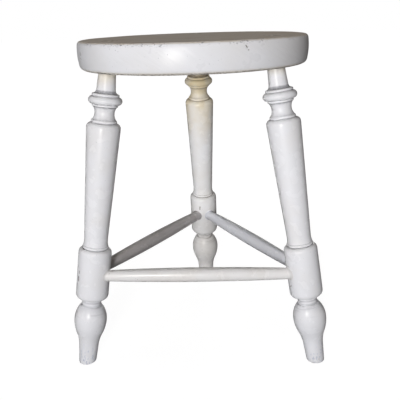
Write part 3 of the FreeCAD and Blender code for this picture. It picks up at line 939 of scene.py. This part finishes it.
@dataclass
class TurnedLeg:
    """One turned leg, from its foot to the tenon end that shows on the seat."""

    leg: Leg
    tree: TurningTree
    film: PaintFilm
    seat_top: float
    seat_underside: float
    foot_reach: float
    splay_angle: float = 9.0
    tenon_radius: float = 11.5
    tenon_sink: float = 0.15
    joint_bead: float = 1.3
    foot_radius: float = 12.6
    foot_edge_round: float = 2.2
    foot_length: float = 24.0
    ankle_radius: float = 14.0
    ball_rise: float = 45.0
    ball_radius: float = 23.4
    ball_crown: float = 21.8
    ball_top_radius: float = 15.4
    collar_groove: float = 7.0
    collar_groove_radius: float = 13.6
    collar_height: float = 3.6
    collar_radius: float = 15.2
    block_bevel: float = 7.4
    block_foot_radius: float = 16.8
    block_length: float = 62.8
    block_radius: float = 23.3
    block_crown: float = 6.0
    block_crown_radius: float = 19.4
    waist_ring: float = 4.4
    waist_ring_radius: float = 18.5
    waist_flare_radius: float = 17.7
    waist_flare: float = 8.0
    waist_radius: float = 16.6
    shoulder_radius: float = 23.3
    shoulder_round: float = 6.5
    shoulder_top_radius: float = 18.8
    low_ring: float = 4.2
    low_ring_radius: float = 17.7
    cove_height: float = 17.4
    cove_radius: float = 13.3
    middle_ring: float = 3.0
    middle_ring_radius: float = 17.6
    bead_height: float = 10.9
    bead_edge_radius: float = 17.0
    bead_radius: float = 22.9
    top_ring: float = 3.6
    top_ring_radius: float = 18.7
    crease_depth: float = 1.5
    neck_flare: float = 5.0
    neck_flare_depth: float = 3.4
    neck_length: float = 29.6
    neck_base_radius: float = 12.9
    level_margin: float = 4.0
    seed_step: float = 10.0
    sides: int = 128
    wobble: float = 0.3
    wobble_lumps: float = 22.0
    ripple: float = 0.03
    ripple_lumps: float = 120.0

    def along(self, height: float) -> float:
        """Distance up the leaning leg to a height."""
        return height / math.cos(math.radians(self.splay_angle))

    @property
    def block_foot(self) -> float:
        """Distance up the leg to the lower end of the block."""
        below = self.foot_length + self.ball_rise + self.ball_crown
        return below + self.collar_groove + self.collar_height

    @property
    def block_top(self) -> float:
        """Distance up the leg to the upper end of the block."""
        return self.block_foot + self.block_bevel + self.block_length + self.block_crown

    def matrix(self) -> Matrix:
        """Place the upright turning as the leaning leg.

        Returns:
            The move, in metres.
        """
        swing = Matrix.Rotation(math.radians(self.leg.angle), 4, "Z")
        lean = Matrix.Rotation(math.radians(-self.splay_angle), 4, "Y")
        return swing @ Matrix.Translation((self.foot_reach * MM, 0, 0)) @ lean

    def outline(self) -> Outline:
        """The leg's outline from the foot up.

        Returns:
            The outline of the bare wood, with the paint beads at its joints.
        """
        shape = Outline()
        self._draw_foot(shape)
        self._draw_block(shape)
        self._draw_head(shape)
        return shape

    def _draw_foot(self, shape: Outline) -> None:
        """Foot, ankle, ball and the grooved collar over it.

        Args:
            shape: The outline so far, which this goes on with.
        """
        ball = self.foot_length + self.ball_rise
        crown = ball + self.ball_crown
        collar = crown + self.collar_groove
        shape.line(0, 0)
        shape.line(self.foot_radius - self.foot_edge_round, 0)
        shape.arc(self.foot_radius, self.foot_edge_round, Upright.FINISH)
        shape.line(self.ankle_radius, self.foot_length)
        halfway = (self.ankle_radius + self.ball_radius) / 2
        shape.arc(halfway, self.foot_length + self.ball_rise / 2, Upright.START)
        shape.arc(self.ball_radius, ball, Upright.FINISH)
        shape.arc(self.ball_top_radius, crown, Upright.START)
        shape.line(self.collar_groove_radius, crown)
        shape.line(self.collar_groove_radius, collar)
        self._draw_ring(shape, self.collar_radius, collar, self.block_foot)

    def _draw_block(self, shape: Outline) -> None:
        """The block that takes the stretchers, and the ring and flare over it.

        Args:
            shape: The outline so far, which this goes on with.
        """
        low = self.block_foot + self.block_bevel
        shape.line(self.block_foot_radius, self.block_foot)
        shape.arc(self.block_radius, low, Upright.FINISH)
        shape.line(self.block_radius, low + self.block_length)
        shape.arc(self.block_crown_radius, self.block_top, Upright.START)
        ring_top = self.block_top + self.waist_ring
        self._draw_ring(shape, self.waist_ring_radius, self.block_top, ring_top)
        shape.line(self.waist_flare_radius, ring_top)
        shape.arc(self.waist_radius, ring_top + self.waist_flare, Upright.FINISH)

    def _draw_head(self, shape: Outline) -> None:
        """Taper, shoulder, cove and bead between narrow bands, then the neck and its tenon.

        Args:
            shape: The outline so far, which this goes on with.
        """
        underside = self.along(self.seat_underside)
        neck_base = underside - self.neck_length
        bead_high = neck_base - self.top_ring
        bead_low = bead_high - self.bead_height
        cove_high = bead_low - self.middle_ring
        cove_low = cove_high - self.cove_height
        shoulder_top = cove_low - self.low_ring
        shape.line(self.shoulder_radius, shoulder_top - self.shoulder_round)
        shape.arc(self.shoulder_top_radius, shoulder_top, Upright.START)
        self._draw_ring(shape, self.low_ring_radius, shoulder_top, cove_low)
        cove_middle = (self.cove_radius, cove_low + self.cove_height / 2)
        shape.bow(cove_middle, self.middle_ring_radius - self.crease_depth, cove_high)
        self._draw_ring(shape, self.middle_ring_radius, cove_high, bead_low)
        shape.line(self.bead_edge_radius, bead_low)
        shape.bow((self.bead_radius, bead_low + self.bead_height / 2), self.bead_edge_radius, bead_high)
        self._draw_ring(shape, self.top_ring_radius, bead_high, neck_base)
        shape.line(self.neck_base_radius + self.neck_flare_depth, neck_base)
        shape.arc(self.neck_base_radius, neck_base + self.neck_flare, Upright.FINISH)
        shape.line(self.tenon_radius, underside - self.joint_bead)
        shape.arc(self.tenon_radius + self.joint_bead, underside, Upright.START)
        shape.line(self.tenon_radius, underside)
        end = self.along(self.seat_top - self.tenon_sink)
        shape.line(self.tenon_radius, end)
        shape.line(0, end)

    def _draw_ring(self, shape: Outline, radius: float, low: float, high: float) -> None:
        """A small half-round ring between two creases.

        Args:
            shape: The outline so far, which this goes on with.
            radius: The ring's widest radius.
            low: Its lower end along the leg.
            high: Its upper end along the leg.
        """
        root = radius - self.crease_depth
        shape.line(root, low)
        shape.bow((radius, (low + high) / 2), root, high)

    def build(self, paint: bpy.types.Material) -> bpy.types.Object:
        """Turn the leg, lean it and hand it to the frame.

        Args:
            paint: The leg's finish.

        Returns:
            The finished piece.
        """
        underside = self.along(self.seat_underside)
        turning = Turning(
            self.sides,
            self.wobble,
            self.wobble_lumps,
            self.ripple,
            self.ripple_lumps,
            seed=self.leg.angle / self.seed_step,
            lean=math.tan(math.radians(self.splay_angle)),
            foot_end=self.foot_length,
            neck_start=underside - self.neck_length + self.level_margin,
            neck_end=underside - self.level_margin,
        )
        piece = self.tree.turn(f"painted_{self.leg.node}", self.film.coat(self.outline()), turning, paint)
        piece.data.transform(self.matrix())
        piece.data.update()
        return hand_over(piece, self.leg.node)


@dataclass
class Stretcher:
    """One swelled rung, shaped to the two leg blocks with a bead of paint round each joint."""

    rung: Rung
    tree: TurningTree
    film: PaintFilm
    first: TurnedLeg
    last: TurnedLeg
    radius: float = 10.2
    end_radius: float = 8.0
    joint_bead: float = 1.9
    shaped_length: float = 16.0
    sunk: float = 0.12
    first_seed: float = 3.0
    sides: int = 96
    wobble: float = 0.5
    wobble_lumps: float = 16.0
    ripple: float = 0.14
    ripple_lumps: float = 90.0

    def matrix(self) -> Matrix:
        """Place the upright turning as the rung between its legs.

        Returns:
            The move, in metres.
        """
        low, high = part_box(self.rung.node)
        along = (self.last.matrix().translation - self.first.matrix().translation).normalized()
        up = Vector((0, 0, 1))
        turned = Matrix((up.cross(along), up * -1, along)).transposed()
        return Matrix.Translation((low + high) / 2) @ turned.to_4x4()

    def reach(self, points: np.ndarray, leg: TurnedLeg, side: int) -> np.ndarray:
        """How far along the rung each point would meet a leg's block.

        Args:
            points: Points of the upright rung, in metres.
            leg: The leg.
            side: The end of the rung, 1 or -1.

        Returns:
            Distances from the rung's middle, in metres.
        """
        place = self.matrix().inverted() @ leg.matrix()
        root = np.array(place @ Vector((0, 0, 0)))
        axis = np.array((place.to_3x3() @ Vector((0, 0, 1))).normalized())
        across = np.column_stack((points[:, 0], points[:, 1], np.zeros(len(points)))) - root
        along = np.array((0.0, 0.0, 1.0)) - axis[2] * axis
        across -= np.outer(across @ axis, axis)
        a = along @ along
        b = across @ along
        c = (across * across).sum(axis=1) - ((leg.block_radius - self.sunk) * MM) ** 2
        return (-b - side * np.sqrt(np.maximum(b * b - a * c, 0))) / a

    def half_length(self) -> float:
        """Half the rung's length, between the faces of the two blocks."""
        middle = np.zeros((1, 3))
        return float(self.reach(middle, self.last, 1)[0]) / MM

    def outline(self) -> Outline:
        """The rung's outline from end to end.

        Returns:
            The outline, with a hollow bead of paint at each end.
        """
        half = self.half_length()
        shape = Outline()
        lip = self.end_radius + self.joint_bead
        shape.line(0, -half)
        shape.line(lip, -half)
        shape.arc(self.end_radius, -half + self.joint_bead, Upright.FINISH)
        shape.bow((self.radius, 0), self.end_radius, half - self.joint_bead)
        shape.arc(lip, half, Upright.START)
        shape.line(0, half)
        return shape

    def build(self, paint: bpy.types.Material) -> bpy.types.Object:
        """Turn the rung, fit its ends to the blocks and hand it to the frame.

        Args:
            paint: The rung's finish.

        Returns:
            The finished piece.
        """
        seed = self.first_seed + len(self.rung.node)
        turning = Turning(self.sides, self.wobble, self.wobble_lumps, self.ripple, self.ripple_lumps, seed)
        piece = self.tree.turn(f"painted_{self.rung.node}", self.film.coat(self.outline()), turning, paint)
        points = points_of(piece)
        half = self.half_length()
        for leg, side in ((self.first, -1), (self.last, 1)):
            along = side * points[:, 2] / MM
            shaped = along - (half - self.shaped_length)
            share = (shaped / (self.shaped_length - self.joint_bead)).clip(0, 1)
            meets = self.reach(points, leg, side)
            points[:, 2] += share * (meets - side * half * MM)
        move_points(piece, points)
        piece.data.transform(self.matrix())
        piece.data.update()
        return hand_over(piece, self.rung.node)


@dataclass
class Seat:
    """The round plank seat, bored through for the leg tenons."""

    tree: TurningTree
    film: PaintFilm
    legs: list[TurnedLeg]
    top: float
    underside: float
    rim: float
    side_draw: float = 1.5
    top_draw: float = 0.5
    top_round: float = 5.0
    bottom_round: float = 7.0
    socket_fit: float = 0.08
    mouth_depth: float = 0.5
    mouth_ease: float = 0.6
    mouth_overrun: float = 3.0
    socket_sides: int = 96
    socket_soften: float = 0.05
    crease_angle: float = 35.0
    sides: int = 320
    wobble: float = 0.9
    ripple: float = 0.12

    def outline(self) -> Outline:
        """The seat's outline, from the middle of its underside round to the middle of its top.

        Returns:
            The outline of the bare wood.
        """
        shape = Outline()
        low_rim = self.rim - self.side_draw
        shape.line(0, self.underside)
        shape.line(low_rim - self.bottom_round, self.underside)
        shape.arc(low_rim, self.underside + self.bottom_round, Upright.FINISH)
        high_rim = self.rim - self.top_draw
        shape.bow((self.rim, (self.underside + self.top) / 2), high_rim, self.top - self.top_round)
        shape.arc(high_rim - self.top_round, self.top, Upright.START)
        shape.line(0, self.top)
        return shape

    def tenon_spots(self) -> tuple[tuple[float, float], ...]:
        """Find where the tenon ends show on the top.

        Returns:
            The x and y of each tenon's middle.
        """
        found = []
        for leg in self.legs:
            spot = leg.matrix() @ Vector((0, 0, leg.along(self.top) * MM))
            found.append((spot.x / MM, spot.y / MM))
        return tuple(found)

    def _cutter(self, leg: TurnedLeg, paint: bpy.types.Material) -> bpy.types.Object:
        """Make the solid that bores one raked socket, eased at its mouth on the top.

        Args:
            leg: The leg that goes in the socket.
            paint: The seat's finish.

        Returns:
            The cutter, in place.
        """
        wall = leg.tenon_radius + self.socket_fit
        low = leg.along(self.underside) - leg.tenon_radius
        mouth = leg.along(self.top) - self.mouth_depth
        high = mouth + self.mouth_overrun * self.mouth_depth
        shape = Outline()
        shape.line(0, low)
        shape.line(wall, low)
        shape.line(wall, mouth)
        shape.line(wall + self.mouth_overrun * self.mouth_ease, high)
        shape.line(0, high)
        turning = Turning(self.socket_sides, lean=math.tan(math.radians(leg.splay_angle)))
        crisp = PaintFilm(soften=self.socket_soften)
        cutter = self.tree.turn(f"cutter_{leg.leg.node}", crisp.coat(shape), turning, paint)
        cutter.data.transform(leg.matrix())
        return cutter

    def build(self, paint: bpy.types.Material) -> bpy.types.Object:
        """Turn the seat, bore its sockets and hand it to the frame.

        Args:
            paint: The seat's finish.

        Returns:
            The finished piece.
        """
        turning = Turning(self.sides, self.wobble, ripple=self.ripple)
        piece = self.tree.turn("painted_seat", self.film.coat(self.outline()), turning, paint)
        for leg in self.legs:
            cutter = self._cutter(leg, paint)
            bore = piece.modifiers.new("bore", "BOOLEAN")
            bore.operation = "DIFFERENCE"
            bore.solver = "EXACT"
            bore.object = cutter
            settle(piece)
            bpy.data.objects.remove(cutter)
        piece.data.set_sharp_from_angle(angle=math.radians(self.crease_angle))
        return hand_over(piece, "seat")


def hand_over(piece: bpy.types.Object, node: str) -> bpy.types.Object:
    """Let a piece stand for a CAD node.

    Args:
        piece: The finished piece.
        node: The CAD node that it replaces.

    Returns:
        The piece.
    """
    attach(piece, BODY)
    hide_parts(node)
    LOG.info("%s: %d faces", piece.name, len(piece.data.polygons))
    return piece


def dress_wedges(paint: bpy.types.Material) -> None:
    """Paint the wedges that show in the tenon ends.

    Args:
        paint: Their finish.
    """
    for leg in Leg:
        wedge = frame["nodes"][f"{leg.node}_wedge"]
        wedge.data.materials.clear()
        wedge.data.materials.append(paint)
        LOG.info("%s: painted", wedge.name)


class LampUse(Enum):
    """What a lamp is for: it lights every surface, or it only shows as a highlight in gloss."""

    SURFACES = "surfaces"
    HIGHLIGHTS = "highlights"


@dataclass(frozen=True)
class Lamp:
    """An oblong studio lamp whose light stays as strong at any distance."""

    name: str
    place: tuple[float, float, float]
    aim: tuple[float, float, float]
    width: float
    height: float
    level: float
    colour: tuple[float, float, float]
    use: LampUse = LampUse.SURFACES

    def build(self) -> bpy.types.Object:
        """Hang the lamp.

        Returns:
            The lamp, bright enough that white facing it at its aim renders at its level.
        """
        data = bpy.data.lights.new(self.name, "AREA")
        data.shape = "RECTANGLE"
        data.size = self.width
        data.size_y = self.height
        way = Vector(self.aim) - Vector(self.place)
        data.energy = self.level * math.pi ** 2
        data.color = self.colour
        data.use_nodes = True
        data.node_tree.nodes.clear()
        wires = Wiring(data.node_tree)
        even = wires.add("ShaderNodeLightFalloff", {"Strength": 1.0}).outputs["Constant"]
        shine = wires.add("ShaderNodeEmission", {"Strength": even}).outputs[0]
        wires.add("ShaderNodeOutputLight", {0: shine})
        lamp = bpy.data.objects.new(self.name, data)
        lamp.location = self.place
        lamp.rotation_mode = "QUATERNION"
        lamp.rotation_quaternion = way.to_track_quat("-Z", "Y")
        lamp.visible_camera = False
        lamp.visible_glossy = self.use is LampUse.HIGHLIGHTS
        lamp.visible_diffuse = self.use is LampUse.SURFACES
        bpy.context.scene.collection.objects.link(lamp)
        return lamp


@dataclass(frozen=True)
class Viewpoint:
    """The camera, placed round the stool as in the photo: angles in radians."""

    round_angle: float = 0.0542
    distance: float = 848.0
    height: float = 489.0
    yaw: float = -0.00295
    pitch: float = 0.3108
    roll: float = -0.035
    focal_pixels: float = 584.8
    sensor_mm: float = 36.0
    clip_start_m: float = 0.02

    def build(self) -> bpy.types.Object:
        """Set up the camera.

        Returns:
            The camera, made the scene's own.
        """
        turn = self.round_angle + self.yaw
        ahead = Vector((-math.sin(turn), math.cos(turn), -math.tan(self.pitch))).normalized()
        right = Vector((math.cos(turn), math.sin(turn), 0))
        up = right.cross(ahead)
        rolled_right = right * math.cos(self.roll) + up * math.sin(self.roll)
        rolled_up = up * math.cos(self.roll) - right * math.sin(self.roll)
        data = bpy.data.cameras.new("camera")
        data.sensor_fit = "HORIZONTAL"
        data.sensor_width = self.sensor_mm
        data.lens = self.focal_pixels * self.sensor_mm / IMAGE_SIDE
        data.clip_start = self.clip_start_m
        camera = bpy.data.objects.new("camera", data)
        out = self.distance * MM
        aside, back = out * math.sin(self.round_angle), out * math.cos(self.round_angle)
        place = Vector((aside, -back, self.height * MM))
        facing = Matrix((rolled_right, rolled_up, -ahead)).transposed().to_4x4()
        camera.matrix_world = Matrix.Translation(place) @ facing
        bpy.context.scene.collection.objects.link(camera)
        bpy.context.scene.camera = camera
        return camera


@dataclass(frozen=True)
class Studio:
    """The floor, the lamps and the surrounding light."""

    floor_side_m: float = 24.0
    floor_gap_m: float = 0.0003
    floor_shade: float = 0.12
    floor_glow: float = 0.95
    floor_fade: Limits = (0.3, 1.2)
    room_ahead: Colour = (0.05, 0.043, 0.037, 1.0)
    room_behind: Colour = (0.04, 0.036, 0.032, 1.0)
    room_turn: Limits = (0.5, -0.5)
    backdrop: Colour = (1.0, 1.0, 1.0, 1.0)
    mirrored_share: float = 0.1
    lamps: tuple[Lamp, ...] = (
        Lamp(
            "key_lamp",
            place=(-0.2, -2.1, 0.5),
            aim=(0.0, -0.07, 0.3),
            width=0.2,
            height=0.9,
            level=0.95,
            colour=(0.99, 0.99, 1.0),
        ),
        Lamp(
            "left_lamp",
            place=(-2.0, -0.5, 0.6),
            aim=(0.0, 0.0, 0.3),
            width=0.8,
            height=0.8,
            level=0.14,
            colour=(0.98, 0.99, 1.0),
        ),
        Lamp(
            "top_lamp",
            place=(0.0, -0.1, 1.9),
            aim=(0.0, 0.0, 0.45),
            width=0.4,
            height=0.4,
            level=0.16,
            colour=(1.0, 0.9, 0.8),
        ),
        Lamp(
            "back_lamp",
            place=(0.5, 2.6, 0.42),
            aim=(0.0, 0.05, 0.25),
            width=1.2,
            height=0.8,
            level=0.7,
            colour=(1.0, 0.99, 0.97),
        ),
        Lamp(
            "sheen_lamp",
            place=(-0.21, -0.9, 0.4),
            aim=(0.0, -0.07, 0.34),
            width=0.15,
            height=0.3,
            level=0.42,
            colour=(1.0, 0.97, 0.9),
            use=LampUse.HIGHLIGHTS,
        ),
    )

    def build(self) -> None:
        """Set the floor, hang the lamps and light the room."""
        self._floor()
        self._room()
        for lamp in self.lamps:
            lamp.build()
        bpy.context.scene.view_settings.view_transform = "Standard"

    def _seen(self, wires: Wiring) -> Socket:
        """Tell what the camera sees from what only lights the stool.

        Args:
            wires: The material's or the world's wiring.

        Returns:
            1 for what is seen straight or through glass, and less for what is mirrored in gloss.
        """
        path = wires.add("ShaderNodeLightPath").outputs
        mirrored = wires.times(path["Is Glossy Ray"], self.mirrored_share)
        seen = wires.math("MAXIMUM", path["Is Camera Ray"], mirrored)
        return wires.math("MAXIMUM", seen, path["Is Transmission Ray"])

    def _floor(self) -> None:
        """A plain pale floor that looks nearly white to the camera and keeps the stool's shadow."""
        half = self.floor_side_m / 2
        mesh = bpy.data.meshes.new("floor")
        corners = ((-half, -half), (half, -half), (half, half), (-half, half))
        mesh.from_pydata([(x, y, -self.floor_gap_m) for x, y in corners], [], [(0, 1, 2, 3)])
        floor = bpy.data.objects.new("floor", mesh)
        bpy.context.scene.collection.objects.link(floor)
        material = bpy.data.materials.new("pale_floor")
        material.use_nodes = True
        material.node_tree.nodes.clear()
        wires = Wiring(material.node_tree)
        seen = self._seen(wires)
        place = wires.add("ShaderNodeTexCoord").outputs["Object"]
        away = wires.vector("LENGTH", place).outputs["Value"]
        near, far = self.floor_fade
        fade = {"Value": away, "From Min": near, "From Max": far, "To Min": self.floor_glow}
        glow = wires.add("ShaderNodeMapRange", fade).outputs[0]
        pale = wires.add("ShaderNodeBsdfDiffuse", {"Color": (self.floor_shade,) * 3 + (1.0,)}).outputs[0]
        white = wires.add("ShaderNodeEmission", {"Strength": wires.times(seen, glow)}).outputs[0]
        both = wires.add("ShaderNodeAddShader", {0: pale, 1: white}).outputs[0]
        wires.add("ShaderNodeOutputMaterial", {"Surface": both})
        material.cycles.emission_sampling = "NONE"
        mesh.materials.append(material)

    def _room(self) -> None:
        """A dim warm room, brighter behind the camera, that looks white to the camera."""
        world = bpy.data.worlds.new("room")
        bpy.context.scene.world = world
        world.use_nodes = True
        world.cycles.sampling_method = "NONE"
        world.node_tree.nodes.clear()
        wires = Wiring(world.node_tree)
        way = wires.add("ShaderNodeTexCoord").outputs["Generated"]
        parts = wires.add("ShaderNodeSeparateXYZ", {0: way}).outputs
        room = wires.mix(wires.ramp(parts[1], *self.room_turn), self.room_behind, self.room_ahead)
        colour = wires.mix(self._seen(wires), room, self.backdrop)
        sky = wires.add("ShaderNodeBackground", {"Color": colour, "Strength": 1.0}).outputs[0]
        wires.add("ShaderNodeOutputWorld", {"Surface": sky})


def leg_paint(leg: Leg, turned: TurnedLeg) -> TurnedPaint:
    """The paint of one leg, with its own wear.

    Args:
        leg: Which leg.
        turned: The leg, for its radii.

    Returns:
        The finish.
    """
    block, ball, foot = turned.block_radius, turned.ball_radius, turned.foot_radius
    if leg is Leg.LEFT:
        marks = (
            Nick(turned.waist_ring_radius, turned.block_top, 11, 2.0, rise=1, run=4),
            Nick(block, 133.5, 9, 2.2, rise=6),
            Nick(block, 144, 12, 1.1, rise=4),
        )
        return TurnedPaint(marks=marks, yellow_most=0.4)
    if leg is Leg.RIGHT:
        marks = (
            Nick(block, 122.4, -123, 1.2, rise=3, run=2),
            Nick(foot, 10.5, -37, 0.9, rise=9, run=2),
            Nick(ball, 77, -81, 1.1),
        )
        return TurnedPaint(marks=marks, yellow_low_m=0.405, yellow_most=0.45)
    marks = (
        Nick(block, 159.5, 166, 1.6, rise=6, run=0.6),
        Nick(ball, 71.5, 167, 1.2),
        Nick(foot + 1.5, 38, -159, 0.9, rise=3, run=4),
    )
    # Painted shade: the back leg's whites are darker than the front legs', for the weaker light at the back;
    # its cream runs lower and stronger, yellowed paint and painted shade under the seat; its brown crease
    # colour is soiling and painted crease shade.
    return TurnedPaint(
        marks=marks,
        white=srgb(226, 226, 227),
        dull_white=srgb(221, 219, 217),
        cream=srgb(218, 202, 166),
        dirt_and_shade=srgb(82, 64, 42),
        yellow_low_m=0.27,
        yellow_high_m=0.385,
        yellow_most=0.95,
        groove_dark=1.0,
        foot_white=srgb(218, 212, 204),
    )


def rung_paint(rung: Rung) -> TurnedPaint:
    """The paint of one stretcher; the left one is painted darker as painted shade.

    Args:
        rung: Which stretcher.

    Returns:
        The finish.
    """
    plain = TurnedPaint(yellow_most=0.0, scuff_high_m=0.01, groove_dark=0.2)
    if rung is Rung.LEFT:
        # Painted shade: the left stretcher is darker and greyer, for the shade it sits in.
        return replace(plain, white=srgb(180, 174, 172), dull_white=srgb(166, 160, 156))
    if rung is Rung.RIGHT:
        return replace(plain, white=srgb(233, 234, 239), dull_white=srgb(226, 228, 235))
    specks = (Nick(9.2, -84, 166, 1.2), Nick(8.4, -122.5, 225, 1.2))
    return replace(plain, marks=specks, white=srgb(233, 231, 229), dull_white=srgb(228, 224, 220))


def main() -> None:
    """Build the stool's pieces in order, then the studio."""
    logging.basicConfig(level=logging.INFO, format="%(name)s %(message)s")
    low, high = (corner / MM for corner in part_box("seat"))
    mounts = {mount["name"]: mount["pos_m"] for mount in frame["record"]["mounts"]}
    foot_reach = mounts["back_foot"][1] / MM
    tree = TurningTree()
    film = PaintFilm()
    legs = {leg: TurnedLeg(leg, tree, film, high.z, low.z, foot_reach) for leg in Leg}
    for leg, turned in legs.items():
        turned.build(leg_paint(leg, turned).material(f"{leg.node}_paint"))
    for rung in Rung:
        stretcher = Stretcher(rung, tree, film, legs[rung.first], legs[rung.last])
        stretcher.build(rung_paint(rung).material(f"{rung.node}_paint"))
    seat = Seat(tree, film, list(legs.values()), high.z, low.z, high.x)
    marks = (
        Nick(seat.rim, 450.2, -64.1, 1.1, rise=-4, run=2.6),
        Nick(seat.rim, 445.2, -63.0, 1.5),
    )
    spots = seat.tenon_spots()
    seat_paint = SeatPaint(marks=marks, tenon_spots=spots, top_m=high.z * MM, bottom_m=low.z * MM)
    seat_material = seat_paint.material("seat_paint")
    seat.build(seat_material)
    dress_wedges(seat_material)
    Viewpoint().build()
    Studio().build()


if __name__ == "__main__":
    main()
